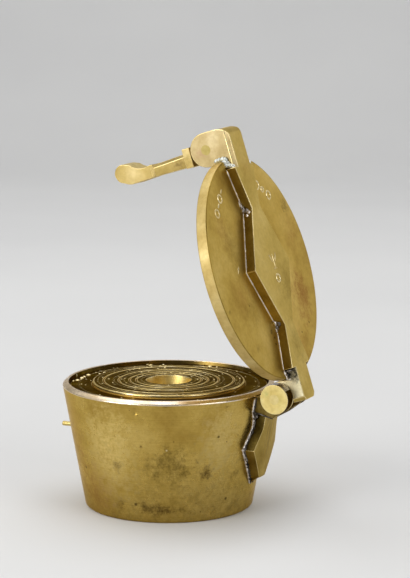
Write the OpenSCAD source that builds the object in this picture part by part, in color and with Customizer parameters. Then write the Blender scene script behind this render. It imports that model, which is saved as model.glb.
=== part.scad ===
// Nested cup weight: a tapered brass case with a hinged, strapped lid, a hasp
// that drops over a peg, and a pile of smaller cups standing inside each other.
// Origin: centre of the case's underside. +Z up, hinge towards +X, hasp towards -X.

/* [Case] */
// Diameter of the case at the lower edge of the rim bevel
rim_d = 64; // [60:0.5:72]
// Diameter of the case at the foot
foot_d = 50.6; // [46:0.2:54]
// Height of the case up to the lower edge of the rim bevel
rim_z = 37; // [34:0.5:44]
// Height of the bright bevel round the rim
bevel_h = 0.9; // [0.4:0.1:1.4]
// Width of the bright bevel round the rim
bevel_w = 1.1; // [0.4:0.1:1.4]
// Thickness of the case's wall at the mouth
rim_wall = 1.8; // [1.5:0.1:3.5]
// Thickness of the case's floor
case_floor = 7; // [4:0.5:9]
// Chamfer round the foot of the case and of each cup
foot_chamfer = 0.5; // [0.2:0.1:0.8]

/* [Nested cups] */
// Side clearance between each cup and the one round it
nest_gap = 0.2; // [0.1:0.05:0.4]
// How far the rim of the largest inner cup lies below the case's rim
step_down = 1; // [0.5:0.1:1.5]
// Chamfer on the outer edge of each inner cup's rim
lip_chamfer = 0.4; // [0.2:0.05:0.6]
// Mouth diameter of cup 1, the largest inner cup
cup_1_mouth_d = 46.2; // [44:0.2:50]
// Mouth diameter of cup 2
cup_2_mouth_d = 39.6; // [36:0.2:42]
// Mouth diameter of cup 3
cup_3_mouth_d = 30.5; // [28:0.2:34]
// Mouth diameter of cup 4
cup_4_mouth_d = 24; // [22:0.2:26]
// Mouth diameter of cup 5
cup_5_mouth_d = 20; // [18:0.2:21]
// Mouth diameter of cup 6, the smallest
cup_6_mouth_d = 13.5; // [11:0.2:15]
// Floor thickness of cup 1
cup_1_floor = 5; // [3:0.5:6]
// Floor thickness of cup 2
cup_2_floor = 6.5; // [4:0.5:7]
// Floor thickness of cup 3
cup_3_floor = 3; // [2:0.25:4]
// Floor thickness of cup 4
cup_4_floor = 3.5; // [2:0.25:4]
// Floor thickness of cup 5
cup_5_floor = 3; // [2:0.25:4]
// Floor thickness of cup 6
cup_6_floor = 3; // [2:0.25:4]
// Distance of the turned line on cup 1's rim from its mouth
line_1_in = 3.9; // [2:0.1:5]
// Distance of the turned line on cup 3's rim from its mouth
line_3_in = 1.2; // [0.8:0.1:2]
// Width of a turned line
line_w = 0.3; // [0.2:0.05:0.5]
// Depth of a turned line
line_deep = 0.2; // [0.1:0.05:0.3]

/* [Lid] */
// Diameter of the lid's disc
lid_d = 67; // [66:0.5:72]
// Thickness of the lid's disc
lid_t = 3.45; // [2.5:0.05:4.5]
// Chamfer on the lid's edges
lid_chamfer = 0.35; // [0.2:0.05:0.6]
// Air between the closed lid and the rim
lid_gap = 0.15; // [0.1:0.05:0.4]
// Angle to which the lid stands open, from closed
lid_open = 72.35; // [0:0.05:108]

/* [Lid strap] */
// Thickness of the strap soldered on the lid
strap_t = 3.05; // [2:0.05:4]
// Half width of the strap's middle lozenge
lozenge_half_w = 12.5; // [10:0.1:15]
// Half width of the strap at its two necks
neck_half_w = 2.9; // [2:0.1:4]
// Distance of each neck from the middle of the lid
neck_x = 17.7; // [14:0.1:20]
// Half width of the strap's two flared ends
flare_half_w = 6.4; // [5.5:0.1:8]
// Distance of each flared end from the middle of the lid
flare_x = 30.4; // [28:0.1:32]

/* [Lid hinge] */
// Distance of the hinge axis from the edge of the rim
hinge_out = 5.95; // [5.6:0.05:7]
// Depth of the hinge axis below the top of the rim
hinge_down = 1.2; // [0:0.1:2]
// Radius of the hinge barrels
barrel_r = 4.4; // [4:0.1:5]
// Half width of the lid's barrel, between the two ears
tongue_half_w = 3.9; // [3:0.1:4.5]
// How far the strap's heel reaches past the hinge axis
heel_out = 2.7; // [1:0.1:3]
// Chamfer on the heel's two corners
heel_chamfer = 1.2; // [0.4:0.1:2]
// Half length of the whole hinge, over the ears
hinge_half_w = 8; // [7:0.1:9]
// Radius of the hinge pin and of the hasp pin
pin_r = 1.5; // [1:0.05:1.8]
// Radial running clearance on a pin
pin_gap = 0.05; // [0.02:0.01:0.1]
// Air beside and around a moving barrel or tongue
run_gap = 0.3; // [0.2:0.05:0.4]

/* [Hinge bracket] */
// Half width of the block that carries the ears
block_half_w = 6.3; // [5.5:0.1:7]
// Depth of the block's lower outer corner below the hinge axis
block_deep = 6.2; // [5.2:0.1:7]
// How much higher the block's underside lies at the case's wall
block_rise = 1.5; // [0.5:0.1:2]
// Reach of the block's lower outer corner past the hinge axis, below zero where it stops short of it
block_out = -1; // [-2:0.1:3]
// Height of the narrow neck below the block
tail_neck_z = 27; // [25:0.5:29]
// Half width of the tail at its neck
tail_neck_half_w = 4.9; // [4:0.1:6]
// Height of the tail's widest place
tail_wide_z = 20.5; // [18:0.5:23]
// Half width of the tail at its widest place
tail_wide_half_w = 7.8; // [6.5:0.1:9]
// Height of the tail's tip
tail_tip_z = 8.8; // [7:0.2:13]
// Half width of the tail's blunt tip
tail_tip_half_w = 0.6; // [0.3:0.1:4]
// Thickness of the tail
tail_t = 3.5; // [2.5:0.1:4.5]
// Slope of the tail's tip, measured up the wall
tail_tip_slope = 2.4; // [1:0.1:4]

/* [Hasp mount] */
// Distance of the hasp's pivot from the edge of the rim
hasp_out = 5.55; // [5.2:0.05:7]
// Depth of the hasp's pivot below the top of the rim
hasp_down = 1.58; // [0.5:0.02:2]
// Radius of the rounded cheeks
cheek_r = 5.1; // [4.5:0.1:5.2]
// Half width over both cheeks
cheek_half_w = 5.2; // [4.5:0.1:6.2]
// Chamfer along the cheeks' outer edges
cheek_chamfer = 1; // [0.4:0.1:1.5]
// Length of the rounding at the strap's free end, along the strap
end_round_len = 2.8; // [1:0.1:4]
// Height of the rounding at the strap's free end
end_round_h = 4.4; // [2:0.1:6]

/* [Hasp] */
// Half width of the hasp's knuckle, between the cheeks
knuckle_half_w = 2.2; // [1.5:0.1:3]
// Radius of the hasp's knuckle
knuckle_r = 3.5; // [2.8:0.1:3.6]
// Distance from the pivot to the hasp's collar
collar_w0 = 5.7; // [5.6:0.1:7]
// Length of the collar along the hasp
collar_len = 2.5; // [1.5:0.1:4]
// Half width of the collar
collar_half_w = 4.1; // [3.7:0.1:5]
// How far the collar reaches inward of the pivot
collar_in = 3.7; // [3:0.1:3.9]
// How far the collar reaches outward of the pivot
collar_up = 2.2; // [1.6:0.1:3]
// Half width of the hasp's bar
bar_half_w = 3.5; // [2.8:0.1:4]
// How far the bar reaches inward of the pivot
bar_in = 3.5; // [2.8:0.1:3.6]
// How far the bar reaches outward of the pivot, at the collar
bar_up = 0.9; // [0.4:0.1:1.4]
// How much thinner the bar gets towards its stop ridge
bar_taper = 0.6; // [0:0.1:1]
// Chamfer on the bar's outer edges
bar_chamfer = 0.9; // [0.4:0.1:1.2]
// Distance from the pivot to the stop ridge at the end of the chamfers
ridge_w = 19; // [18.6:0.1:20]
// Length of the stop ridge along the hasp
ridge_len = 0.9; // [0.5:0.1:1.5]
// How far the stop ridge stands proud of the bar
ridge_h = 0.25; // [0.1:0.05:0.5]
// Distance from the pivot to the middle of the thumb-piece's round end
thumb_w = 29.1; // [27:0.1:30]
// Radius of the thumb-piece's round end
thumb_r = 2.8; // [2:0.05:3.2]
// How far the middle of the thumb-piece's round end lies outward of the pivot
thumb_up = 0.3; // [-1:0.1:1.5]
// Distance from the pivot to the middle of the hollow above the curl
curl_w = 22; // [21:0.1:23]
// Radius of the hollow above the curl
curl_r = 6; // [5:0.1:8]
// Half width of the thumb-piece
thumb_half_w = 3.8; // [3.5:0.1:5]
// Radius of the thumb-piece's two end corners, seen from outside
thumb_corner_r = 2.4; // [0.5:0.1:3]

/* [Catch peg] */
// Diameter of the catch peg
peg_d = 1.4; // [1:0.1:2]
// Height of the catch peg
peg_z = 21; // [20:0.2:22]
// How far the catch peg stands out of the wall
peg_out = 7.3; // [5:0.1:8]
// Depth of the catch peg's hole in the wall
peg_deep = 1.2; // [0.6:0.1:1.4]
// Air round the catch peg in the hasp's slot
slot_gap = 0.4; // [0.3:0.05:0.6]
// Angle by which the hasp swings in from hanging to reach the wall
hasp_shut = 14; // [10:0.5:14]

/* [Hidden] */
$fn = 96;
brass = [0.70, 0.57, 0.27];
dark_brass = [0.52, 0.42, 0.20];
pale_brass = [0.80, 0.70, 0.42];
over = 1;  // how far a cutting tool runs past the face that it cuts

rim_r = rim_d / 2;
foot_r = foot_d / 2;
mouth_r = rim_r - rim_wall;
case_h = rim_z + bevel_h;
slope = (rim_r - foot_r) / rim_z;  // outward run of every wall per unit of height
function wall_r(z) = foot_r + slope * z;

// One entry per inner cup: mouth radius, floor thickness and rim height
cup_mouth_r = [cup_1_mouth_d, cup_2_mouth_d, cup_3_mouth_d,
               cup_4_mouth_d, cup_5_mouth_d, cup_6_mouth_d] / 2;
cup_floor = [cup_1_floor, cup_2_floor, cup_3_floor, cup_4_floor, cup_5_floor, cup_6_floor];
function cup_top(i) = i == 0 ? case_h - step_down : case_h;
function cup_foot(i) = i == 0 ? case_floor : cup_foot(i - 1) + cup_floor[i - 1];
function cavity_r(i, z) = i < 0 ? mouth_r - slope * (case_h - z)
                                : cup_mouth_r[i] - slope * (cup_top(i) - z);
function cup_r(i, z) = cavity_r(i - 1, z) - nest_gap;

// The lid and all that it carries are drawn closed, and then swung open
hinge_x = rim_r + hinge_out;
hinge_z = case_h - hinge_down;
lid_z = case_h + lid_gap;
lid_top = lid_z + lid_t;
strap_top = lid_top + strap_t;
lid_r = lid_d / 2;
hasp_x = -rim_r - hasp_out;
hasp_z = case_h - hasp_down;
cheek_end_x = hasp_x - cheek_r;
heel_x = hinge_x + heel_out;
slot_half_w = knuckle_half_w + run_gap;
ear_in = tongue_half_w + run_gap;

// Outer and inner face of the hasp's bar at its stop ridge
bar_end = bar_up - bar_taper;
bar_end_in = -bar_in + bar_taper / 2;

// The catch slot is where the peg crosses the shut hasp
peg_x = -wall_r(peg_z) - peg_out;
peg_w = hasp_z - peg_z;
peg_tilt = tan(hasp_shut);
tip_gap = 1.5 * slot_gap;  // extra air beside the slot's upper end and the peg's tip
catch_half_w = peg_d / 2 + slot_gap;
catch_w0 = peg_w - peg_d / 2 - tip_gap;
catch_w1 = peg_w + peg_d / 2 + 2 * slot_gap + bar_in * peg_tilt;
ramp_u = peg_x - hasp_x + tip_gap;
ramp_w = thumb_w - thumb_r + over;
ramp_foot_u = -bar_in - slot_gap;

module lid_pose() {
  translate([hinge_x, 0, hinge_z])
    rotate([0, lid_open, 0])
      translate([-hinge_x, 0, -hinge_z]) children();
}

// A cylinder across the object, along Y, between two places
module cross_rod(x, z, r, y0, y1) {
  translate([x, y1, z]) rotate([90, 0, 0]) cylinder(h = y1 - y0, r = r);
}

// An outline in X and Z, run along Y to the same distance on both sides
module side_prism(points, half_w) {
  translate([0, half_w, 0]) rotate([90, 0, 0]) linear_extrude(2 * half_w) polygon(points);
}

// An outline in Y and Z, run along X between two places
module front_prism(points, x0, x1) {
  translate([x0, 0, 0]) rotate([90, 0, 90]) linear_extrude(x1 - x0) polygon(points);
}

// Right half of an outline, given from one end to the other, and its mirror image
function both_sides(half) = concat(half, [for (i = [len(half) - 1:-1:0]) [-half[i][0], half[i][1]]]);

// Hasp drawing frame: first number outward of the pivot, second down from it
function hasp_points(list) = [for (p = list) [hasp_x - p[0], hasp_z - p[1]]];

module case_cup() {
  color(brass) difference() {
    rotate_extrude() polygon([
      [0, 0], [foot_r - foot_chamfer, 0], [wall_r(foot_chamfer), foot_chamfer],
      [rim_r, rim_z], [rim_r - bevel_w, case_h], [mouth_r, case_h],
      [cavity_r(-1, case_floor), case_floor], [0, case_floor]]);
    translate([peg_x, 0, peg_z]) rotate([0, 90, 0]) cylinder(h = peg_out + peg_deep, d = peg_d);
  }
}

module inner_cup(i, line_in = 0) {
  z0 = cup_foot(i);
  z1 = cup_top(i);
  floor_z = z0 + cup_floor[i];
  line_r = cup_mouth_r[i] + line_in;
  color(i % 2 == 0 ? dark_brass : brass) difference() {
    rotate_extrude() polygon([
      [0, z0], [cup_r(i, z0) - foot_chamfer, z0], [cup_r(i, z0 + foot_chamfer), z0 + foot_chamfer],
      [cup_r(i, z1 - lip_chamfer), z1 - lip_chamfer], [cup_r(i, z1) - lip_chamfer, z1],
      [cup_mouth_r[i], z1], [cavity_r(i, floor_z), floor_z], [0, floor_z]]);
    if (line_in > 0)
      rotate_extrude() translate([line_r, z1 - line_deep]) square([line_w, line_deep + over]);
  }
}

module hinge_bracket() {
  tail = [[tail_neck_half_w, hinge_z], [tail_neck_half_w, tail_neck_z],
          [tail_wide_half_w, tail_wide_z], [tail_tip_half_w, tail_tip_z]];
  block_z = hinge_z - block_deep;
  block_foot = block_z + block_rise;
  far_x = hinge_x + barrel_r;
  corner = barrel_r * sin(45);
  color(brass) difference() {
    union() {
      intersection() {
        cylinder(h = hinge_z, r1 = foot_r + tail_t, r2 = wall_r(hinge_z) + tail_t);
        front_prism(both_sides(tail), 0, far_x);
        side_prism([[0, case_h], [wall_r(tail_tip_z), tail_tip_z],
                    [wall_r(tail_tip_z) + tail_t, tail_tip_z + tail_tip_slope],
                    [far_x, tail_tip_z + tail_tip_slope], [far_x, case_h]], tail_wide_half_w);
      }
      side_prism([[0, hinge_z], [hinge_x, hinge_z], [hinge_x + corner, hinge_z - corner],
                  [hinge_x + block_out, block_z], [wall_r(block_foot), block_foot],
                  [0, block_foot]], block_half_w);
      cross_rod(hinge_x, hinge_z, barrel_r, -hinge_half_w, hinge_half_w);
    }
    cylinder(h = rim_z, r1 = foot_r, r2 = rim_r);
    cross_rod(hinge_x, hinge_z, barrel_r + run_gap, -ear_in, ear_in);
    cross_rod(hinge_x, hinge_z, pin_r, -hinge_half_w - over, hinge_half_w + over);
  }
}

module hinge_pin() {
  color(pale_brass) cross_rod(hinge_x, hinge_z, pin_r, -hinge_half_w, hinge_half_w);
}

module catch_peg() {
  color(pale_brass)
    translate([peg_x, 0, peg_z]) rotate([0, 90, 0]) cylinder(h = peg_out + peg_deep, d = peg_d);
}

module lid_disc() {
  color(brass) lid_pose() rotate_extrude() polygon([
    [0, lid_z], [lid_r - lid_chamfer, lid_z], [lid_r, lid_z + lid_chamfer],
    [lid_r, lid_top - lid_chamfer], [lid_r - lid_chamfer, lid_top], [0, lid_top]]);
}

module strap_plate() {
  half = [[flare_half_w, flare_x], [neck_half_w, neck_x], [lozenge_half_w, 0],
          [neck_half_w, -neck_x], [flare_half_w, -flare_x]];
  translate([0, 0, lid_top]) linear_extrude(strap_t)
    polygon([for (p = both_sides(half)) [p[1], p[0]]]);
}

module strap_tongue() {
  half = [[tongue_half_w, flare_x], [tongue_half_w, heel_x - heel_chamfer],
          [tongue_half_w - heel_chamfer, heel_x]];
  intersection() {
    side_prism([[flare_x, lid_top], [lid_r, lid_top], [lid_r, hinge_z], [heel_x, hinge_z],
                [heel_x, strap_top], [flare_x, strap_top]], tongue_half_w);
    translate([0, 0, hinge_z]) linear_extrude(strap_top - hinge_z)
      polygon([for (p = both_sides(half)) [p[1], p[0]]]);
  }
  cross_rod(hinge_x, hinge_z, barrel_r, -tongue_half_w, tongue_half_w);
}

module strap_cheeks() {
  round_x = cheek_end_x + end_round_len;
  round_z = strap_top - end_round_h;
  end_round = [for (a = [0:15:90]) [round_x - end_round_len * cos(a), round_z + end_round_h * sin(a)]];
  front = [[cheek_half_w, hasp_z - cheek_r], [cheek_half_w, strap_top - cheek_chamfer],
           [cheek_half_w - cheek_chamfer, strap_top]];
  difference() {
    intersection() {
      union() {
        side_prism(concat([[-flare_x, strap_top], [-flare_x, lid_top], [hasp_x + cheek_r, lid_top],
                           [hasp_x + cheek_r, hasp_z], [cheek_end_x, hasp_z]], end_round), cheek_half_w);
        cross_rod(hasp_x, hasp_z, cheek_r, -cheek_half_w, cheek_half_w);
      }
      front_prism(both_sides(front), cheek_end_x, -flare_x);
    }
    translate([cheek_end_x - over, -slot_half_w, hasp_z - cheek_r - over])
      cube([2 * cheek_r + 2 * over, 2 * slot_half_w, lid_top - hasp_z + cheek_r + over]);
    cross_rod(hasp_x, hasp_z, pin_r, -cheek_half_w - over, cheek_half_w + over);
  }
}

module lid_strap() {
  color(brass) lid_pose() difference() {
    union() {
      strap_plate();
      strap_tongue();
      strap_cheeks();
    }
    translate([0, 0, lid_z]) cylinder(h = lid_t, r = lid_r);
    cross_rod(hinge_x, hinge_z, pin_r + pin_gap, -tongue_half_w - over, tongue_half_w + over);
  }
}

module hasp_pin() {
  color(pale_brass) lid_pose() cross_rod(hasp_x, hasp_z, pin_r, -cheek_half_w, cheek_half_w);
}

module hasp_bar() {
  section = [[bar_half_w - bar_chamfer, 0], [bar_half_w, bar_chamfer], [bar_half_w, bar_in + 2 * bar_up]];
  intersection() {
    side_prism(hasp_points([[-bar_in, collar_w0], [bar_up, collar_w0],
                            [bar_end, ridge_w], [bar_end_in, ridge_w]]), bar_half_w);
    translate([hasp_x - bar_up, 0, hasp_z - collar_w0])
      rotate([0, -atan(bar_taper / (ridge_w - collar_w0)), 0])
        rotate([180, 0, 0]) translate([0, 0, -over]) linear_extrude(ridge_w)
          polygon([for (p = both_sides(section)) [p[1], p[0]]]);
  }
}

// The thumb-piece's outline seen from outside, run through its whole depth
module thumb_plan() {
  tip_w = thumb_w + thumb_r;
  corner_y = thumb_half_w - thumb_corner_r;
  corner_w = tip_w - thumb_corner_r;
  reach = 2 * curl_r;
  half = [[bar_half_w, ridge_w], [bar_half_w, ridge_w + ridge_len], [thumb_half_w, thumb_w - thumb_r],
          [thumb_half_w, corner_w], [corner_y, corner_w], [corner_y, tip_w]];
  front_prism([for (p = both_sides(half)) [p[0], hasp_z - p[1]]], hasp_x - reach, hasp_x + reach);
  for (side = [-1, 1])
    translate([hasp_x - reach, side * corner_y, hasp_z - corner_w])
      rotate([0, 90, 0]) cylinder(h = 2 * reach, r = thumb_corner_r);
}

module hasp_thumb() {
  round_off = thumb_r * sin(45);
  difference() {
    intersection() {
      union() {
        side_prism(hasp_points([[bar_end_in, ridge_w], [bar_end, ridge_w], [thumb_up + thumb_r, thumb_w],
                                [thumb_up, thumb_w], [thumb_up - round_off, thumb_w + round_off],
                                [-bar_in, thumb_w - thumb_r / 2]]), thumb_half_w);
        cross_rod(hasp_x - thumb_up, hasp_z - thumb_w, thumb_r, -thumb_half_w, thumb_half_w);
      }
      thumb_plan();
    }
    cross_rod(hasp_x - bar_end - curl_r, hasp_z - curl_w, curl_r,
              -thumb_half_w - over, thumb_half_w + over);
  }
}

// A block across the hasp, between two places outward of the pivot and two down from it
module hasp_block(u0, u1, w0, w1, half_w) {
  side_prism(hasp_points([[u0, w0], [u1, w0], [u1, w1], [u0, w1]]), half_w);
}

module hasp() {
  color(pale_brass) lid_pose() difference() {
    union() {
      cross_rod(hasp_x, hasp_z, knuckle_r, -knuckle_half_w, knuckle_half_w);
      hasp_block(-knuckle_r / 2, bar_up, 0, collar_w0 + over, knuckle_half_w);
      hasp_block(-collar_in, collar_up, collar_w0, collar_w0 + collar_len, collar_half_w);
      hasp_bar();
      hasp_block(bar_end_in, bar_end + ridge_h, ridge_w, ridge_w + ridge_len, bar_half_w + ridge_h);
      hasp_thumb();
    }
    cross_rod(hasp_x, hasp_z, pin_r + pin_gap, -knuckle_half_w - over, knuckle_half_w + over);
    // Slot for the catch peg, with a ramp on the inner face that lets the peg in as the lid comes down
    hasp_block(-bar_in - over, collar_up, catch_w0, catch_w1, catch_half_w);
    side_prism(hasp_points([[-bar_in - over, catch_w0], [ramp_u, catch_w0], [ramp_u, catch_w1],
                            [ramp_foot_u, ramp_w], [-bar_in - over, ramp_w]]), catch_half_w);
  }
}

case_cup();
inner_cup(0, line_1_in);  // cup_1
inner_cup(1);  // cup_2
inner_cup(2, line_3_in);  // cup_3
inner_cup(3);  // cup_4
inner_cup(4);  // cup_5
inner_cup(5);  // cup_6
hinge_bracket();
hinge_pin();
catch_peg();
lid_disc();
lid_strap();
hasp_pin();
hasp();
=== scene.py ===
"""Looks of the nested cup weight: turned and worn copies of the CAD pieces, solder, marks, light, camera."""

import math
import random

import bmesh
import bpy
from mathutils import Matrix, Vector


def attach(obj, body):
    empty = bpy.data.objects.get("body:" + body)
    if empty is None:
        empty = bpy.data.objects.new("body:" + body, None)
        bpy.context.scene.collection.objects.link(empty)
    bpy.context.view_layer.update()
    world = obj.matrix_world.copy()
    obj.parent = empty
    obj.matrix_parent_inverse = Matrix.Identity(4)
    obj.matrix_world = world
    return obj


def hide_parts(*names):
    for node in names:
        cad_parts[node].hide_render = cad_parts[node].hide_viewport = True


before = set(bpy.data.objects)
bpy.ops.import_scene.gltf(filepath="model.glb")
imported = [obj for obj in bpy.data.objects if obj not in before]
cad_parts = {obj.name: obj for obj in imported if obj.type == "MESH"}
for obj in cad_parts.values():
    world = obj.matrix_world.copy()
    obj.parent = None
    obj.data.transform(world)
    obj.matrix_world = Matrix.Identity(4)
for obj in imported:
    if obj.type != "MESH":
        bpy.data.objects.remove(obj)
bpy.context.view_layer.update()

random.seed(7)
scene = bpy.context.scene

# Metres in a millimetre
MM = 0.001

# Sizes and places of the CAD pieces, in millimetres
FOOT_R = 25.3
RIM_R = 32
RIM_Z = 37
RIM_TOP_R = 30.9
SLOPE = (RIM_R - FOOT_R) / RIM_Z
CASE_TOP = 37.9
MOUTH_R = 30.2
CASE_FLOOR = 7
CUP_1_TOP = 36.9
CUP_GAP = 0.2
LID_R = 33.5
LID_UNDER = 38.05
LID_TOP = 41.5
STRAP_TOP = 44.55
EAR_R = 4.4
PEG_R = 0.7
PEG_LENGTH = 8.5
PEG_TIP = (-36.4027, 0, 21)
HINGE = Vector((37.95, 0, 36.7))
HASP = Vector((14.69617, 0, 108.53073))
THUMB_CORNER = Vector((-10.64, 0, 96.8))

# SWING carries shapes given on the closed lid to the open lid, and STILL leaves a shape where it is
LID_OPEN = math.radians(72.35)
SWING = Matrix.Translation(HINGE) @ Matrix.Rotation(LID_OPEN, 4, "Y") @ Matrix.Translation(-HINGE)
STILL = Matrix.Identity(4)

# The near and far side of the plane through hinge and hasp
BOTH = (-1, 1)
SIDES = ((-1, "near"), (1, "far"))

# How finely shapes are made: points round a circle, and millimetres along a line
SEGMENTS = 256
CASE_SEGMENTS = 480
PEG_SEGMENTS = 48
RING_POINTS = 20
CASE_STEP = 0.42
BEAD_STEP = 0.45

# Faces that meet at less than FLAT_ANGLE count as one, and edges over WORN_ANGLE are worn
FLAT_ANGLE = math.radians(0.5)
WORN_ANGLE = math.radians(28)
SOFT_ROUNDING = 1.0

# Edges nearer to a pin's axis than this belong to its bore
BORE_CLEAR = 2

# Scales of the textures: a larger number is finer
GRAIN_SCALE = 900
RAGGED_SCALE = 380
MOTTLE_SCALE = 1100
TOOL_LINE_SCALE = 2800.0

# How far a spot's edge is frayed, and the level at which it ends
FRAY = 4.4
FRAY_LEVEL = 3


# Shader nodes

def add_node(tree, kind, settings=None, **inputs):
    """A shader node; an input is a value or another node's output, and its name has _ for each space."""
    node = tree.nodes.new(kind)
    for key, value in (settings or {}).items():
        setattr(node, key, value)
    for key, value in inputs.items():
        socket = node.inputs[int(key[1:])] if key[0] == "_" else node.inputs[key.replace("_", " ")]
        if isinstance(value, bpy.types.NodeSocket):
            tree.links.new(value, socket)
        else:
            socket.default_value = value
    return node


def ramp(tree, fac, *stops):
    """A colour ramp's output; each stop is a place and a colour."""
    node = add_node(tree, "ShaderNodeValToRGB", Fac=fac)
    elements = node.color_ramp.elements
    while len(elements) < len(stops):
        elements.new(0.5)
    for element, (place, colour) in zip(elements, stops):
        element.position = place
        element.color = (*colour, 1)
    return node.outputs["Color"]


def blend(tree, fac, a, b, mode="MIX"):
    """Colour a with a share of colour b."""
    node = add_node(tree, "ShaderNodeMix", {"data_type": "RGBA", "blend_type": mode}, _0=fac)
    for socket, value in ((node.inputs[6], a), (node.inputs[7], b)):
        if isinstance(value, bpy.types.NodeSocket):
            tree.links.new(value, socket)
        else:
            socket.default_value = (*value, 1)
    return node.outputs[2]


def noise(tree, vector, scale, detail=4.0, roughness=0.55):
    return add_node(tree, "ShaderNodeTexNoise", Vector=vector, Scale=scale, Detail=detail,
                    Roughness=roughness).outputs["Fac"]


def maths(tree, operation, a, b=0.0):
    return add_node(tree, "ShaderNodeMath", {"operation": operation}, _0=a, _1=b).outputs[0]


def vector_maths(tree, operation, a, b):
    return add_node(tree, "ShaderNodeVectorMath", {"operation": operation}, _0=a, _1=b).outputs[0]


def remap(tree, value, low, high, to_low, to_high, way="LINEAR"):
    """A value's range low to high carried to the range to_low to to_high."""
    return add_node(tree, "ShaderNodeMapRange", {"interpolation_type": way}, Value=value, From_Min=low,
                    From_Max=high, To_Min=to_low, To_Max=to_high).outputs["Result"]


def spot_mask(tree, vector, centre, size, soft):
    """1 inside an ellipsoid with a ragged edge, 0 outside; centre and size in millimetres."""
    shift = vector_maths(tree, "SUBTRACT", vector, [c * MM for c in centre])
    shape = vector_maths(tree, "DIVIDE", shift, [s * MM for s in size])
    reach = add_node(tree, "ShaderNodeVectorMath", {"operation": "LENGTH"}, _0=shape).outputs["Value"]
    fray = maths(tree, "MULTIPLY", noise(tree, vector, RAGGED_SCALE, 8, 0.75), FRAY)
    edge = maths(tree, "ADD", reach, fray)
    inside = remap(tree, edge, FRAY_LEVEL + soft, FRAY_LEVEL - soft, 0.0, 1.0, "SMOOTHSTEP")
    mottle = remap(tree, noise(tree, vector, MOTTLE_SCALE, 5, 0.7), 0.36, 0.6, 0.35, 1.0)
    return maths(tree, "MULTIPLY", inside, mottle)


def speck_mask(tree, vector, scale, size, share):
    """1 in small scattered specks: scale is specks per metre, size a share of their spacing."""
    cells = add_node(tree, "ShaderNodeTexVoronoi", Vector=vector, Scale=scale)
    near = remap(tree, cells.outputs["Distance"], size, size * 0.5, 0.0, 1.0, "SMOOTHSTEP")
    picked = add_node(tree, "ShaderNodeSeparateColor", Color=cells.outputs["Color"]).outputs["Red"]
    return maths(tree, "MULTIPLY", near, maths(tree, "LESS_THAN", picked, share))


def tool_lines(tree, place, lines):
    """Uneven lines left by turning: rings round the axis if "turned", level lines round a wall if "wall"."""
    parts = add_node(tree, "ShaderNodeSeparateXYZ", Vector=place)
    x, y, z = (parts.outputs[axis] for axis in "XYZ")
    squares = maths(tree, "ADD", maths(tree, "POWER", x, 2.0), maths(tree, "POWER", y, 2.0))
    along = maths(tree, "SQRT", squares) if lines == "turned" else z
    slant = maths(tree, "MULTIPLY", x, 0.004)
    level = maths(tree, "ADD", along, slant)
    return add_node(tree, "ShaderNodeTexNoise", {"noise_dimensions": "1D"}, W=level, Scale=TOOL_LINE_SCALE,
                    Detail=4.0, Roughness=0.65).outputs["Fac"]


def metal(name, dark, middle, light, rough, grain, cloud, seed=0.0, lines=None, spots=(), specks=(),
          tint=(1.0, 0.86, 0.58)):
    """Aged metal: a cloudy colour, fine grain, tool lines, stains, painted patches of light and shade, and
    specks.

    cloud is the scale of the clouds, and seed shifts them.
    lines is "turned" for rings round the axis, "wall" for level lines round a wall, or None.
    spots are (centre, size, colour, strength), in millimetres; specks (scale, size, share, colour).
    tint is the colour of a slanting reflection.
    """
    material = bpy.data.materials.new(name)
    material.use_nodes = True
    tree = material.node_tree
    tree.nodes.clear()
    place = add_node(tree, "ShaderNodeTexCoord").outputs["Object"]
    moved = vector_maths(tree, "ADD", place, (seed, seed * 0.7, seed * 1.3))
    clouds = noise(tree, moved, cloud, 7, 0.62)
    fine = noise(tree, moved, GRAIN_SCALE, 4, 0.6)
    colour = ramp(tree, clouds, (0.28, dark), (0.5, middle), (0.72, light))
    grain_shade = ramp(tree, fine, (0.3, (0.6, 0.54, 0.42)), (0.6, (1, 1, 1)))
    colour = blend(tree, 0.3, colour, grain_shade, "MULTIPLY")
    roughness = remap(tree, clouds, 0.3, 0.7, rough + 0.07, rough - 0.06)
    for centre, size, spot_colour, strength in spots:
        softness = 0.6 if strength > 0.55 else 1.0
        mask = maths(tree, "MULTIPLY", spot_mask(tree, place, centre, size, softness), strength)
        colour = blend(tree, mask, colour, spot_colour)
        roughness = maths(tree, "ADD", roughness, maths(tree, "MULTIPLY", mask, 0.12))
    for scale, size, share, fleck in specks:
        mask = maths(tree, "MULTIPLY", speck_mask(tree, moved, scale, size, share), 0.8)
        colour = blend(tree, mask, colour, fleck)
    height = fine
    if lines:
        rings = tool_lines(tree, place, lines)
        height = maths(tree, "ADD", maths(tree, "MULTIPLY", fine, 0.5), rings)
        line_shade = ramp(tree, rings, (0.35, (0.72, 0.68, 0.6)), (0.6, (1, 1, 1)))
        colour = blend(tree, 0.3, colour, line_shade, "MULTIPLY")
    bump = add_node(tree, "ShaderNodeBump", Strength=grain, Distance=0.0001, Height=height)
    shader = add_node(tree, "ShaderNodeBsdfPrincipled", Base_Color=colour, Metallic=1.0, Roughness=roughness,
                      Specular_Tint=(*tint, 1), Normal=bump.outputs["Normal"])
    output = add_node(tree, "ShaderNodeOutputMaterial")
    tree.links.new(shader.outputs["BSDF"], output.inputs["Surface"])
    return material


# Colours of stains and specks, of painted glints and a painted dark reflection, and tints of reflections
BROWN = (0.09, 0.05, 0.012)
OLIVE = (0.15, 0.098, 0.02)
RUST = (0.36, 0.17, 0.05)
VERDIGRIS = (0.36, 0.4, 0.14)
DARK_REFLECTION = (0.035, 0.028, 0.02)
PIT = (0.09, 0.055, 0.015)
GLINT = (0.95, 0.85, 0.55)
PLAIN = (1.0, 0.98, 0.95)


def swung(spots):
    """Spots given on the closed lid, carried to where the open lid lies."""
    return [((*(SWING @ Vector(place)),), size, colour, strength) for place, size, colour, strength in spots]
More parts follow.
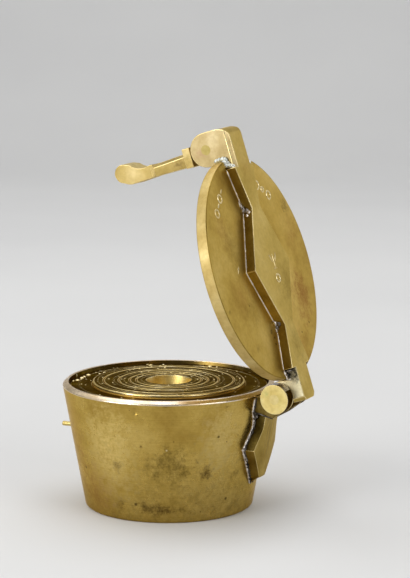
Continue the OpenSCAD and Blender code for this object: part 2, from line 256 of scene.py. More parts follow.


# Stains, and patches of painted light and shade where marked: centre, size, colour, strength
case_spots = [
    # The first two patches are painted highlights, lighter bands where the lamps reflect, on brass that also
    # has less stain
    ((-6, -29, 20), (8, 8, 14), (0.84, 0.64, 0.23), 0.75),
    # The third patch, large and OLIVE, darkens the case towards the bottom
    ((25, -17, 24), (5, 6, 11), (0.74, 0.57, 0.22), 0.6), ((0, 0, -7), (60, 60, 25), OLIVE, 0.55),
    ((7, -25.2, 4.6), (4.4, 4, 1.9), BROWN, 0.8), ((12.5, -25.8, 18.4), (6.5, 5, 5), OLIVE, 0.7),
    ((13, -25.5, 4), (4, 4, 1.2), BROWN, 0.6), ((16, -22, 17), (2.2, 2, 2), OLIVE, 0.6),
    ((21, -18.6, 15.4), (1.6, 1.6, 2), BROWN, 0.9), ((-3.5, -28.2, 17.1), (1.2, 1.2, 2.2), BROWN, 0.6),
    ((-3, -25.9, 4.4), (1.4, 2, 2), BROWN, 0.6), ((26, -9.7, 13.3), (2, 2, 1.3), OLIVE, 0.7),
    ((5.1, -29.2, 23.9), (0.5, 0.5, 0.5), BROWN, 0.8), ((-13.2, -23.2, 7.6), (6, 6, 8), RUST, 0.5),
    # The GLINT spot below is a painted glint in a dent
    ((-20.5, -21, 22), (4, 6, 14), RUST, 0.5), ((12.2, -26.8, 22.9), (0.25, 0.25, 0.25), GLINT, 0.8),
    ((26.9, -16.8, 35.3), (1.3, 1.3, 0.6), BROWN, 0.6), ((13.4, -28.9, 36.5), (1.3, 1.3, 0.5), BROWN, 0.6),
    ((12, 26, 12), (6, 4, 5), OLIVE, 0.6), ((-18, 20, 20), (6, 5, 4), OLIVE, 0.5),
    ((-6, 24, 6), (5, 4, 2), BROWN, 0.6),
]
lid_spots = swung([
    ((13.6, 19.9, LID_TOP), (7, 5, 7), RUST, 0.75), ((-7.1, 25.8, LID_TOP), (4, 4, 5), RUST, 0.4),
    ((-15.8, 26.2, LID_TOP), (2, 2, 2.4), OLIVE, 0.6), ((24.9, 11.8, LID_TOP), (4, 4, 5), RUST, 0.4),
    ((-9, -17.8, LID_TOP), (3, 4, 7), OLIVE, 0.4), ((21.7, -19, LID_TOP), (1, 1, 1), BROWN, 0.5),
    ((12, -16, LID_TOP), (5, 4, 4), OLIVE, 0.3), ((10, 22.6, LID_TOP), (3, 3, 5), RUST, 0.6),
    ((6.1, 20.9, LID_TOP), (3, 2.5, 3), RUST, 0.5), ((5.9, -19.7, LID_TOP), (3, 4, 4), RUST, 0.35),
    ((-14, -20, LID_TOP), (3, 3, 6), RUST, 0.3), ((9.1, -16.6, LID_TOP), (0.6, 0.6, 0.6), BROWN, 0.8),
    ((18.7, -7, LID_TOP), (0.6, 0.6, 0.6), BROWN, 0.8), ((8.9, -30, LID_TOP), (0.5, 0.6, 0.5), BROWN, 0.8),
])
strap_spots = swung([
    ((8, 6, STRAP_TOP), (6, 5, 6), OLIVE, 0.35), ((-30, 1, STRAP_TOP), (5, 4, 4), RUST, 0.25),
    ((24, 1, STRAP_TOP), (4, 3, 5), OLIVE, 0.4),
])
cheek_spots = swung([((-37, -5.2, 35), (2.4, 1, 1.6), (0.4, 0.25, 0.15), 0.6)])
# Painted reflection: a dark patch on the upper part of each heel side
heel_painted_reflection = swung([((32.6, side * 3.9, 43.4), (1.8, 1.2, 1.8), DARK_REFLECTION, 0.95) for side in BOTH])
# Painted light: a lighter patch on each block side, beside the painted shadow
block_painted_light = [((36.4, side * 6.3, 32.4), (2.2, 1, 2), (0.34, 0.25, 0.09), 0.55) for side in BOTH]
ear_spots = [
    ((35.4, -8, 38.2), (1.0, 0.7, 1.0), VERDIGRIS, 0.5),
    ((39.4, -8, 36.6), (1.5, 0.7, 1.5), (0.56, 0.5, 0.17), 0.4),
]
hasp_spots = [((3, side * 3, 104), (7, 4, 3.5), (0.27, 0.19, 0.055), 0.8) for side in BOTH]
bar_spots = [((4.9, side * 3.5, 103.6), (2.2, 2, 1.8), BROWN, 0.6) for side in BOTH]

# Brass of the case, cups and lid: dark, middle and light colour, roughness, grain, scale of the clouds
case_brass = metal("case_brass", (0.37, 0.235, 0.045), (0.5, 0.345, 0.08), (0.62, 0.45, 0.13),
                   0.27, 0.12, 60, lines="wall", spots=case_spots,
                   specks=[(170, 0.1, 0.35, PIT), (430, 0.13, 0.12, PIT)])
# Painted highlight: the rim's brass is painted pale where it catches the light
rim_painted_highlight = metal("rim_painted_highlight", (0.66, 0.5, 0.28), (0.84, 0.69, 0.5), (0.96, 0.88, 0.76),
                   0.27, 0.06, 150, tint=(1.0, 0.94, 0.84))
cup_dark = metal("cup_dark", (0.06, 0.038, 0.008), (0.13, 0.085, 0.02), (0.3, 0.21, 0.06),
                 0.3, 0.2, 170, 0.3, lines="turned",
                 specks=[(330, 0.2, 0.25, GLINT), (260, 0.3, 0.35, PIT)], tint=(0.42, 0.34, 0.18))
# Painted highlight: the cups' lips and the edges of their turned lines and grooves are painted pale
cup_lip_painted_highlight = metal("cup_lip_painted_highlight", (0.45, 0.32, 0.1), (0.72, 0.56, 0.24), (0.95, 0.84, 0.54),
                 0.22, 0.05, 260)
cup_golden = metal("cup_golden", (0.62, 0.44, 0.12), (0.8, 0.62, 0.22), (0.9, 0.75, 0.36),
                   0.44, 0.1, 120, lines="wall")
lid_brass = metal("lid_brass", (0.36, 0.225, 0.042), (0.55, 0.38, 0.09), (0.68, 0.5, 0.16),
                  0.36, 0.05, 50, 0.1, spots=lid_spots, specks=[(190, 0.09, 0.3, PIT)])
lid_edge = metal("lid_edge", (0.5, 0.36, 0.12), (0.61, 0.47, 0.19), (0.7, 0.57, 0.28),
                 0.6, 0.06, 110, 0.2)
# Painted glints: the punch marks and nicks are painted pale
mark_painted_glint = metal("mark_painted_glint", (0.66, 0.5, 0.2), (0.82, 0.68, 0.36), (0.92, 0.82, 0.54),
                    0.28, 0.04, 200)

# Brass of the strap, bracket, hasp and pins
strap_brass = metal("strap_brass", (0.44, 0.31, 0.075), (0.57, 0.42, 0.12), (0.66, 0.51, 0.19),
                    0.35, 0.06, 60, 0.5, spots=strap_spots, specks=[(170, 0.08, 0.3, PIT)])
# Painted shade: darker brass for the strap's side walls, the tail's lower sides and the lid's top edge
# rounding
side_painted_shade = metal("side_painted_shade", (0.17, 0.105, 0.014), (0.31, 0.21, 0.042), (0.44, 0.31, 0.075),
                  0.38, 0.1, 160)
cheek_pale = metal("cheek_pale", (0.34, 0.25, 0.105), (0.44, 0.34, 0.165), (0.54, 0.44, 0.25),
                   0.38, 0.08, 150, 0.6, spots=cheek_spots, specks=[(260, 0.09, 0.4, (0.4, 0.26, 0.1))])
# Painted highlight: the heel sides are painted very pale
heel_painted_highlight = metal("heel_painted_highlight", (0.84, 0.72, 0.42), (0.94, 0.85, 0.56), (0.97, 0.92, 0.7),
                  0.45, 0.06, 150, 0.65, spots=heel_painted_reflection)
# Worn edges, painted brighter as a highlight too
edge_wear_and_highlight = metal("edge_wear_and_highlight", (0.6, 0.45, 0.16), (0.78, 0.63, 0.3), (0.9, 0.78, 0.48),
                     0.28, 0.04, 90)
bracket_brass = metal("bracket_brass", (0.24, 0.16, 0.035), (0.36, 0.26, 0.07), (0.5, 0.37, 0.13),
                      0.38, 0.07, 80, 0.7, specks=[(200, 0.1, 0.3, PIT)])
# Painted shade: near-black brass for the bracket's shaded facets, the ears' sides and the strap's barrel
bracket_painted_shade = metal("bracket_painted_shade", (0.02, 0.013, 0.002), (0.05, 0.033, 0.006), (0.11, 0.078, 0.018),
                      0.46, 0.1, 160, tint=(0.5, 0.4, 0.2))
# Painted shade on the bracket block's sides
block_painted_shade = metal("block_painted_shade", (0.05, 0.032, 0.006), (0.1, 0.068, 0.014), (0.2, 0.14, 0.035),
                    0.42, 0.1, 160, spots=block_painted_light)
ear_pale = metal("ear_pale", (0.58, 0.44, 0.14), (0.73, 0.59, 0.23), (0.83, 0.71, 0.36),
                 0.4, 0.1, 160, 0.8, spots=ear_spots, specks=[(420, 0.15, 0.35, (0.34, 0.26, 0.08))])
hasp_brass = metal("hasp_brass", (0.34, 0.24, 0.07), (0.46, 0.345, 0.125), (0.58, 0.46, 0.22),
                   0.36, 0.05, 110, 0.4, spots=hasp_spots, specks=[(200, 0.08, 0.3, PIT)])
# Painted light on the thumb-piece's upper faces, and painted shade with real stains on the bar's sides
hasp_painted_light = metal("hasp_painted_light", (0.62, 0.47, 0.17), (0.74, 0.59, 0.26), (0.84, 0.71, 0.38),
                   0.4, 0.05, 110, 0.4)
hasp_side_painted_shade = metal("hasp_side_painted_shade", (0.24, 0.165, 0.04), (0.35, 0.255, 0.08), (0.47, 0.36, 0.15),
                  0.36, 0.05, 110, 0.4, spots=bar_spots, specks=[(200, 0.08, 0.3, PIT)])
pin_brass = metal("pin_brass", (0.48, 0.36, 0.11), (0.6, 0.47, 0.17), (0.7, 0.58, 0.27),
                  0.42, 0.08, 160, 0.9)
rivet_brass = metal("rivet_brass", (0.34, 0.265, 0.08), (0.43, 0.345, 0.125), (0.52, 0.43, 0.19),
                    0.4, 0.08, 160)

# Solder
solder_pale = metal("solder_pale", (0.4, 0.35, 0.31), (0.72, 0.66, 0.61), (0.93, 0.9, 0.87),
                    0.34, 0.3, 420, tint=PLAIN)
solder_mid = metal("solder_mid", (0.06, 0.054, 0.05), (0.3, 0.27, 0.25), (0.85, 0.8, 0.78),
                   0.32, 0.3, 380, tint=PLAIN)
# Dark solder, also used as a painted shadow line under the bracket block and as painted shade at the strap's
# shoulders
solder_dark_and_shade = metal("solder_dark_and_shade", (0.03, 0.026, 0.022), (0.09, 0.08, 0.072), (0.5, 0.46, 0.43),
                    0.3, 0.3, 350, tint=PLAIN)
solder_green = metal("solder_green", (0.42, 0.47, 0.42), (0.76, 0.79, 0.74), (0.94, 0.95, 0.92),
                     0.45, 0.4, 500, tint=PLAIN)
solder_smear = metal("solder_smear", (0.04, 0.035, 0.03), (0.5, 0.46, 0.43), (0.92, 0.89, 0.87),
                     0.3, 0.3, 260, 0.2, tint=PLAIN)


# Building shapes

def new_piece(name, mesh, body, materials, stands_for=None):
    """An object that rides on a body; stands_for is the CAD node whose place it takes in the picture."""
    piece = bpy.data.objects.new(name, mesh)
    scene.collection.objects.link(piece)
    for material in materials:
        mesh.materials.append(material)
    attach(piece, body)
    if stands_for:
        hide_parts(stands_for)
    return piece


def mesh_from(name, bm, sharp=35):
    """A smooth mesh whose edges over the angle sharp, in degrees, stay sharp."""
    bmesh.ops.recalc_face_normals(bm, faces=bm.faces)
    mesh = bpy.data.meshes.new(name)
    bm.to_mesh(mesh)
    bm.free()
    mesh.shade_smooth()
    mesh.set_sharp_from_angle(angle=math.radians(sharp))
    return mesh


def join_rings(bm, low, high):
    """Faces between two rings of points, of which one may be a single point."""
    count = max(len(low), len(high))
    faces = []
    for k in range(count):
        n = (k + 1) % count
        corners = [low[k % len(low)], low[n % len(low)], high[n % len(high)], high[k % len(high)]]
        faces.append(bm.faces.new(list(dict.fromkeys(corners))))
    return faces


def rounded(corners, steps=4):
    """A profile with its corners rounded, as (radius, height, material of the stretch that follows).

    Each corner is (radius, height, rounding, material of the stretch after it, material of the rounding).
    """
    line = []
    for i, (r, z, size, after, own) in enumerate(corners):
        if size == 0 or i in (0, len(corners) - 1):
            line.append((r, z, after))
            continue
        here = Vector((r, z))
        back = (Vector(corners[i - 1][:2]) - here).normalized()
        on = (Vector(corners[i + 1][:2]) - here).normalized()
        start = here + back * size
        end = here + on * size
        for k in range(steps + 1):
            t = k / steps
            p = start.lerp(here, t).lerp(here.lerp(end, t), t)
            line.append((p.x, p.y, after if k == steps else own))
    return line


def finer(line, step):
    """A profile whose stretches of the first material are cut into lengths of at most step."""
    cut = []
    for (r0, z0, index), (r1, z1, _) in zip(line, line[1:]):
        count = max(1, math.ceil(math.hypot(r1 - r0, z1 - z0) / step)) if index == 0 else 1
        cut += [(r0 + (r1 - r0) * k / count, z0 + (z1 - z0) * k / count, index) for k in range(count)]
    return cut + [line[-1]]


def lathe(name, line, body, materials, stands_for, pose=STILL, segments=SEGMENTS, dents=()):
    """Turns a profile round Z, presses in any dents, which are (place, radius, depth), and sets its pose."""
    bm = bmesh.new()
    rings = []
    for r, z, _ in line:
        ring = []
        for k in range(1 if r < 1e-6 else segments):
            a = 2 * math.pi * k / segments
            p = Vector((r * math.cos(a), r * math.sin(a), z))
            for centre, size, depth in dents:
                near = (p - Vector(centre)).length / size
                if near < 1:
                    p -= Vector((math.cos(a), math.sin(a), 0)) * depth * (1 - near * near) ** 2
            ring.append(bm.verts.new((pose @ p) * MM))
        rings.append(ring)
    for low, high, (_, _, index) in zip(rings, rings[1:], line):
        for face in join_rings(bm, low, high):
            face.material_index = index
    return new_piece(name, mesh_from(name, bm), body, materials, stands_for)


def edge_middle(edge):
    return (edge.verts[0].co + edge.verts[1].co) / 2 / MM


def worn(name, node, body, materials, width, pick, pose=STILL, keep=None, soft=None, merge=0.06):
    """A copy of a CAD node with its sharp edges worn round, and bright as worn brass and as a painted
    highlight.

    pick gives a face's material from its middle and normal, as the piece lies before its pose.
    keep tells from an edge and its middle whether it is worn, and soft whether it is first rounded wide.
    Points closer than merge are joined, because slivers would hold the rounding back.
    """
    bm = bmesh.new()
    bm.from_mesh(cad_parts[node].data)
    bmesh.ops.remove_doubles(bm, verts=bm.verts, dist=merge * MM)
    bmesh.ops.dissolve_degenerate(bm, edges=bm.edges, dist=merge * MM)
    bmesh.ops.dissolve_limit(bm, angle_limit=FLAT_ANGLE, verts=bm.verts, edges=bm.edges)
    bm.normal_update()
    home = pose.inverted()
    for face in bm.faces:
        middle = home @ (face.calc_center_median() / MM)
        face.material_index = materials.index(pick(middle, home.to_3x3() @ face.normal))
    if soft:
        wide = [edge for edge in bm.edges if soft(edge, edge_middle(edge))]
        bmesh.ops.bevel(bm, geom=wide, offset=SOFT_ROUNDING * MM, segments=6, profile=0.5, affect="EDGES",
                        clamp_overlap=True)
    edges = [edge for edge in bm.edges if edge.calc_face_angle() > WORN_ANGLE
             and (not keep or keep(edge, edge_middle(edge)))]
    bmesh.ops.bevel(bm, geom=edges, offset=width * MM, segments=2, profile=0.5, affect="EDGES",
                    clamp_overlap=True, material=materials.index(edge_wear_and_highlight))
    bmesh.ops.dissolve_degenerate(bm, edges=bm.edges, dist=3e-6)
    piece = new_piece(name, mesh_from(name, bm, 50), body, materials, node)
    piece.modifiers.new("even_normals", "WEIGHTED_NORMAL").keep_sharp = True
    return piece


def bead(name, path, body, material, radius, pose=STILL, wobble=0.35, sides=8):
    """A rough bead of solder along a path, in millimetres."""
    points = []
    for a, b in zip(path, path[1:]):
        a = Vector(a)
        b = Vector(b)
        count = max(1, round((b - a).length / BEAD_STEP))
        points += [a.lerp(b, k / count) for k in range(count)]
    points.append(Vector(path[-1]))
    last = len(points) - 1
    bm = bmesh.new()
    rings = []
    for i, p in enumerate(points):
        way = (points[min(i + 1, last)] - points[max(i - 1, 0)]).normalized()
        side = way.orthogonal().normalized()
        up = way.cross(side)
        thick = radius * (1 + random.uniform(-wobble, wobble)) * (0.35 if i in (0, last) else 1)
        ring = []
        for k in range(sides):
            a = 2 * math.pi * k / sides
            out = side * math.cos(a) + up * math.sin(a)
            ring.append(bm.verts.new((pose @ (p + out * thick * random.uniform(0.85, 1.15))) * MM))
        rings.append(ring)
    for low, high in zip(rings, rings[1:]):
        join_rings(bm, low, high)
    bm.faces.new(rings[0])
    bm.faces.new(rings[-1])
    return new_piece(name, mesh_from(name, bm, 80), body, [material])


def lumps(name, places, body, material, pose=STILL):
    """Rough lumps: each is a place and three half sizes, in millimetres."""
    bm = bmesh.new()
    for centre, size in places:
        for v in bmesh.ops.create_icosphere(bm, subdivisions=3, radius=1)["verts"]:
            wave = math.sin(5 * v.co.x + 3 * v.co.z + centre[0]) * math.cos(4 * v.co.y + centre[1])
            swell = 1 + 0.16 * wave
            v.co = pose @ (Vector(centre) + Vector(v.co[i] * size[i] * swell for i in range(3))) * MM
    return new_piece(name, mesh_from(name, bm, 80), body, [material])


# A punch mark's section: how far to the side and how high, in millimetres
MARK_SECTION = ((-0.3, -0.05), (-0.14, 0.16), (0.14, 0.16), (0.3, -0.05))


def mark_line(mark):
    """The middle line of a punch mark, and whether it closes on itself."""
    centre = Vector(mark[:3])
    if len(mark) == 4:
        angles = [2 * math.pi * k / RING_POINTS for k in range(RING_POINTS)]
        return [Vector((math.cos(a), math.sin(a), 0)) * mark[3] + centre for a in angles], True
    angle = math.radians(mark[4])
    way = Vector((math.cos(angle), math.sin(angle), 0)) * mark[3] / 2
    return [centre - way, centre - way * 0.4, centre + way * 0.4, centre + way], False


def rings_and_strokes(name, marks, body, material, pose=STILL):
    """Plain punch marks on a level face: a ring is (x, y, z, radius), a stroke (x, y, z, length, angle)."""
    bm = bmesh.new()
    for mark in marks:
        line, closed = mark_line(mark)
        last = len(line) - 1
        loops = []
        for i, p in enumerate(line):
            ahead = line[(i + 1) % len(line)] if closed or i < last else p
            behind = line[i - 1] if closed or i else p
            side = (ahead - behind).normalized().cross(Vector((0, 0, 1)))
            thin = 0.4 if not closed and i in (0, last) else 1
            loops.append([bm.verts.new((pose @ (p + side * a * thin + Vector((0, 0, b * thin)))) * MM)
                          for a, b in MARK_SECTION])
        for low, high in zip(loops, loops[1:]):
            join_rings(bm, low, high)
        if closed:
            join_rings(bm, loops[-1], loops[0])
        else:
            bm.faces.new(loops[0])
            bm.faces.new(loops[-1])
    return new_piece(name, mesh_from(name, bm, 60), body, [material])


def from_axis(p, axis):
    """How far a point lies from an axis along Y."""
    return math.hypot(p.x - axis.x, p.z - axis.z)


# Case
def wall_r(z):
    """The case's outer radius at a height."""
    return FOOT_R + SLOPE * z


case_line = rounded([
    (0, 0, 0, 0, 0), (FOOT_R - 0.5, 0, 0.15, 0, 0), (wall_r(0.5), 0.5, 0.3, 0, 0), (RIM_R, RIM_Z, 0.3, 1, 1),
    (RIM_TOP_R, CASE_TOP, 0.3, 1, 1), (MOUTH_R, CASE_TOP, 0.12, 2, 1),
    (MOUTH_R - SLOPE * (CASE_TOP - CASE_FLOOR), CASE_FLOOR, 0.8, 2, 2), (0, CASE_FLOOR, 0, 2, 2)])
case_dents = [((4.3, -31.3, 34.6), 1.4, 0.45), ((12.2, -26.8, 22.9), 0.9, 0.22), ((-18, -24, 12), 1.5, 0.12),
              ((20, 21, 20), 1.2, 0.2)]
lathe("case_turned", finer(case_line, CASE_STEP), "case", [case_brass, rim_painted_highlight, cup_dark],
      "case_cup", segments=CASE_SEGMENTS, dents=case_dents)

# Inner cups: mouth radius, rim height, floor thickness, turned line from the mouth
cups = [(23.1, CUP_1_TOP, 5, 3.9), (19.8, CASE_TOP, 6.5, 0), (15.25, CASE_TOP, 3, 1.2),
        (12, CASE_TOP, 3.5, 0), (10, CASE_TOP, 3, 0), (6.75, CASE_TOP, 3, 0)]
GROOVED_CUPS = (2, 4, 6)
WIDE_LIP_CUP = 2
WIDE_LIP = 0.6
LIP = 0.35


def seat_r(mouth, top, z):
    """The outer radius at a height of a cup that stands in a cup with this mouth and top."""
    return mouth - SLOPE * (top - z) - CUP_GAP


outer_mouth, outer_top, foot = MOUTH_R, CASE_TOP, CASE_FLOOR
for number, (mouth, top, thick, line_in) in enumerate(cups, 1):
    rim = seat_r(outer_mouth, outer_top, top)
    lip = WIDE_LIP if number == WIDE_LIP_CUP else LIP
    corners = [(0, foot, 0, 2, 0), (seat_r(outer_mouth, outer_top, foot) - 0.5, foot, 0.15, 2, 2),
               (seat_r(outer_mouth, outer_top, foot + 0.5), foot + 0.5, 0.15, 2, 2),
               (seat_r(outer_mouth, outer_top, top - 0.05), top, lip, 0, 1)]
    if line_in:
        line_r = mouth + line_in
        corners += [(line_r + 0.3, top, 0.06, 0, 1), (line_r + 0.3, top - 0.2, 0, 0, 0),
                    (line_r, top - 0.2, 0, 0, 0), (line_r, top, 0.06, 0, 1)]
    if number in GROOVED_CUPS:
        middle = (rim + mouth) / 2
        corners += [(middle + 0.12, top, 0.04, 0, 1), (middle, top - 0.12, 0, 0, 0),
                    (middle - 0.12, top, 0.04, 0, 1)]
    floor_z = foot + thick
    corners += [(mouth, top, 0.22, 2, 1), (mouth - SLOPE * (top - floor_z), floor_z, 0.5, 2, 2),
                (0, floor_z, 0, 2, 0)]
    lathe(f"cup_{number}_turned", rounded(corners), f"cup_{number}", [cup_dark, cup_lip_painted_highlight, cup_golden],
          f"cup_{number}")
    outer_mouth, outer_top, foot = mouth, top, floor_z

# Nicks along the cups' lips, and plain punch marks on the largest, painted pale as glints
punches = [
    (-27.4, -9.7, CUP_1_TOP, 0.7, 20), (-26.9, -8, CUP_1_TOP, 0.45), (-26.6, -6.2, CUP_1_TOP, 0.8, 70),
    (-27.3, -4.4, CUP_1_TOP, 0.4), (-27.6, -2.4, CUP_1_TOP, 0.8, 0), (-27.6, 0.4, CUP_1_TOP, 0.5),
    (-25.2, 3.2, CUP_1_TOP, 0.7, 45), (-24.6, 5.6, CUP_1_TOP, 0.45), (-16.9, 21.9, CUP_1_TOP, 0.45),
    (-13.6, 24.2, CUP_1_TOP, 0.7, 60), (0.6, 28.2, CUP_1_TOP, 0.45), (3.2, 27.8, CUP_1_TOP, 0.7, 10),
]
NICK_SUNK = 0.08
NICK_MARGIN = 0.9
CUP_1_NICKS_END = 29.6
for number, (mouth, top, _, _) in enumerate(cups, 1):
    outer = CUP_1_NICKS_END if number == 1 else cups[number - 2][0] - NICK_MARGIN
    marks = []
    for _ in range(round(outer)):
        place = random.uniform(0, 360)
        r = random.uniform(mouth + 0.5, outer)
        length = random.uniform(0.3, 0.8)
        x = r * math.cos(math.radians(place))
        y = r * math.sin(math.radians(place))
        marks.append((x, y, top - NICK_SUNK, length, place + 90 + random.uniform(-30, 30)))
    if number == 1:
        marks += punches
    rings_and_strokes(f"cup_{number}_marks", marks, f"cup_{number}", mark_painted_glint)

# Lid
# The rounding of the top edge takes the painted shade of the side walls
lid_line = rounded([(0, LID_UNDER, 0, 0, 0), (LID_R, LID_UNDER, 0.45, 1, 1), (LID_R, LID_TOP, 0.22, 0, 2),
                    (0, LID_TOP, 0, 0, 0)])
lathe("lid_turned", lid_line, "lid", [lid_brass, lid_edge, side_painted_shade], "lid_disc", SWING)


# Strap
def strap_face(p, n):
    """Painted shade on the side walls, shoulders and barrel, pale cheeks, and heel sides painted pale as a
    highlight.
    """
    if abs(n.y) > 0.9 and p.x > 33:
        return heel_painted_highlight
    if abs(n.y) > 0.6 and p.x < -31:
        return cheek_pale
    if abs(n.y) < 0.5 and from_axis(p, HINGE) < EAR_R + 0.2:
        return bracket_painted_shade
    return side_painted_shade if abs(n.z) < 0.3 and abs(p.x) < 30.6 else strap_brass


def off_bores(edge, p):
    """Whether an edge stands out and lies off both pins' bores."""
    return edge.is_convex and all(from_axis(p, axis) > BORE_CLEAR for axis in (HINGE, HASP))


worn("strap_worn", "lid_strap", "lid",
     [strap_brass, edge_wear_and_highlight, side_painted_shade, cheek_pale, heel_painted_highlight, bracket_painted_shade],
     0.22, strap_face, SWING, off_bores)
rings_and_strokes("lid_marks", [
    (-24.6, -13.9, LID_TOP, 1.8, -47), (-22.7, -15.9, LID_TOP, 1.2), (-20.8, -18, LID_TOP, 1.8, -47),
    (-18.8, -20.2, LID_TOP, 1.2), (-23.8, 11.2, LID_TOP, 1.3), (-22.1, 14.1, LID_TOP, 0.8),
    (-20, 17.3, LID_TOP, 1.3), (-1.5, -17.1, LID_TOP, 2.4, -35)], "lid", mark_painted_glint, SWING)
rings_and_strokes("strap_marks", [
    (4.2, 1.3, STRAP_TOP, 1.2), (-0.8, 1.4, STRAP_TOP, 4.4, 0), (-2, -0.2, STRAP_TOP, 2.8, 30),
    (-2, 3, STRAP_TOP, 2.8, -30), (1.2, 1.4, STRAP_TOP, 2.4, 90)], "lid", mark_painted_glint, SWING)

# Solder on the lid: a thin line along the strap's foot, lumps at its necks, shoulders, barrel and block; the
# dark shoulder lumps also put painted shade in the recess at the strap's step
strap_foot = [(-30.2, 6.45), (-17.7, 2.95), (0, 12.55), (17.7, 2.95), (30.3, 6.4)]
for side, word in SIDES:
    bead(f"strap_solder_{word}", [(x, side * y, LID_TOP + 0.02) for x, y in strap_foot], "lid", solder_pale,
         0.24, SWING)


def lid_lumps(name, material, rows):
    """Lumps on both sides of the strap: each row is x, y, height over the lid, and three half sizes."""
    places = [((x, side * y, LID_TOP + z), size) for side in BOTH for x, y, z, size in rows]
    lumps(name, places, "lid", material, SWING)


lid_lumps("neck_solder", solder_mid, [
    (-17.8, 3.4, 0.3, (1.2, 0.8, 0.7)), (-18.9, 3.7, 0.2, (1.1, 0.6, 0.4)),
    (-17.2, 3.3, 1.2, (0.8, 0.6, 0.8)), (17.7, 3.4, 0.3, (1.1, 0.8, 0.7)),
    (17.1, 3.5, 1.1, (0.7, 0.55, 0.8))])
lid_lumps("neck_drops", solder_pale, [
    (-16.7, 3.6, 1.9, (0.6, 0.45, 0.5)), (-15.9, 4.1, 1.3, (0.5, 0.4, 0.45)),
    (-19.6, 4.2, 0.1, (0.9, 0.5, 0.3)), (16.6, 3.9, 0.4, (0.8, 0.5, 0.45)),
    (18.6, 3.8, 0.2, (0.8, 0.5, 0.3))])
# Dark solder lumps that also stand for the shade in the recess at each shoulder
lid_lumps("shoulder_solder_and_shade", solder_dark_and_shade, [
    (30.9, 4.9, 1.2, (0.5, 1.3, 1.5)), (32.3, 4.5, 0.1, (1.1, 0.7, 0.35))])
lid_lumps("shoulder_drops", solder_pale, [
    (31.4, 6, 0.1, (1, 0.7, 0.35)), (32.7, 5.2, -0.05, (0.9, 0.8, 0.3))])
lumps("barrel_solder", [((33.5, y, LID_TOP - 0.2), (0.5, 0.8, 0.6)) for y in (-3.6, -1.6, 0.4, 2.4, 3.6)],
      "lid", solder_pale, SWING)
crust = [(-33.5, 5.5, -2.7), (-33.6, 5.6, -1.7), (-33.6, 5.5, -0.6), (-33.3, 5.7, 0.2), (-32.2, 5.6, 0.5),
         (-31.2, 5.7, 1.1), (-30.8, 5.7, 2.0), (-31.6, 6.2, 0.1), (-32.6, 6.3, -0.1)]
lid_lumps("block_solder", solder_green, [(x, y, z, (0.75, 0.55, 0.75)) for x, y, z in crust])


# Hasp
def hasp_face(p, n):
    """Painted light makes the thumb-piece's upper faces lighter, and painted shade the bar's sides darker,
    than the rest.
    """
    if p.x < -4 and n.z > 0.5:
        return hasp_painted_light
    return hasp_side_painted_shade if -3.4 < p.x < 6 and abs(n.y) > 0.9 and abs(p.y) > 3.3 else hasp_brass


def thumb_corner(edge, p):
    """Whether an edge is the low corner under the thumb-piece."""
    across = abs(edge.verts[0].co.y - edge.verts[1].co.y)
    return from_axis(p, THUMB_CORNER) < 0.1 and across > 1 * MM


worn("hasp_worn", "hasp", "hasp", [hasp_brass, edge_wear_and_highlight, hasp_painted_light, hasp_side_painted_shade], 0.16,
     hasp_face, soft=thumb_corner, merge=0.1)


# Hinge bracket
def bracket_face(p, n):
    """Pale ear ends, solder over the ears, painted shade on the walls, underside and ears' sides, less
    painted shade on the tail's lower sides, and painted shade with a lit patch on the block's sides.
    """
    if abs(p.y) > 7.9:
        return ear_pale
    on_ear = abs(p.y) > 4.2 and abs(from_axis(p, HINGE) - EAR_R) < 0.25
    if on_ear and abs(n.y) < 0.1 and n.x > -0.5:
        return solder_smear if n.z > 0.6 else bracket_painted_shade
    if abs(n.y) > 0.9 and abs(p.y) > 6 and p.z > 30:
        return block_painted_shade
    if abs(n.y) > 0.4 and n.z < -0.3:
        return side_painted_shade
    return bracket_painted_shade if abs(n.y) > 0.4 or n.z < -0.5 else bracket_brass


def off_wall(edge, p):
    """Whether an edge stands out and lies off the case's wall and off the pin's bore."""
    off_case = math.hypot(p.x, p.y) > wall_r(p.z) + 0.3
    return edge.is_convex and off_case and from_axis(p, HINGE) > BORE_CLEAR


worn("bracket_worn", "hinge_bracket", "case",
     [bracket_brass, edge_wear_and_highlight, bracket_painted_shade, ear_pale, side_painted_shade, solder_smear, block_painted_shade],
     0.16, bracket_face, keep=off_wall)

# Solder between the bracket and the case's wall: the seam is half width and height, from the top down
SEAM_STEPS = 8
seam = [(6.4, 36.4), (6.4, 32.2), (5.3, 29.6), (5, 27), (7.9, 20.5), (0.6, 8.8)]
for side, word in SIDES:
    path = []
    for (w0, z0), (w1, z1) in zip(seam, seam[1:]):
        for k in range(SEAM_STEPS + 1):
            w = w0 + (w1 - w0) * k / SEAM_STEPS
            z = z0 + (z1 - z0) * k / SEAM_STEPS
            path.append((math.sqrt(wall_r(z) ** 2 - w * w), side * w, z))
    bead(f"bracket_solder_{word}", path, "case", solder_pale, 0.42)
    scale = [(x + 0.5, y * 0.985, z) for x, y, z in path]
    bead(f"bracket_scale_{word}", scale, "case", solder_dark_and_shade, 0.34, wobble=0.5)
seam_tip = seam[-1][1]
bead("bracket_solder_tip", [(wall_r(seam_tip) - 0.05, y, seam_tip) for y in (-0.6, 0, 0.6)], "case",
     solder_pale, 0.3)
block_foot = [(31.3, 6.1, 32.3), (31.4, 5.6, 31.2), (31.2, 5.2, 29.8)]
# Along each block's lower edge, a dark bead is a painted shadow line under the block
block_shadow_line = [(31.7, 6.3, 31.9), (34.3, 6.3, 31.2), (36.9, 6.3, 30.5)]
for side, word in SIDES:
    for name, line, radius in (("foot_solder", block_foot, 0.75), ("block_shadow_line", block_shadow_line, 0.24)):
        path = [(x, side * y, z) for x, y, z in line]
        bead(f"{name}_{word}", path, "case", solder_dark_and_shade, radius)

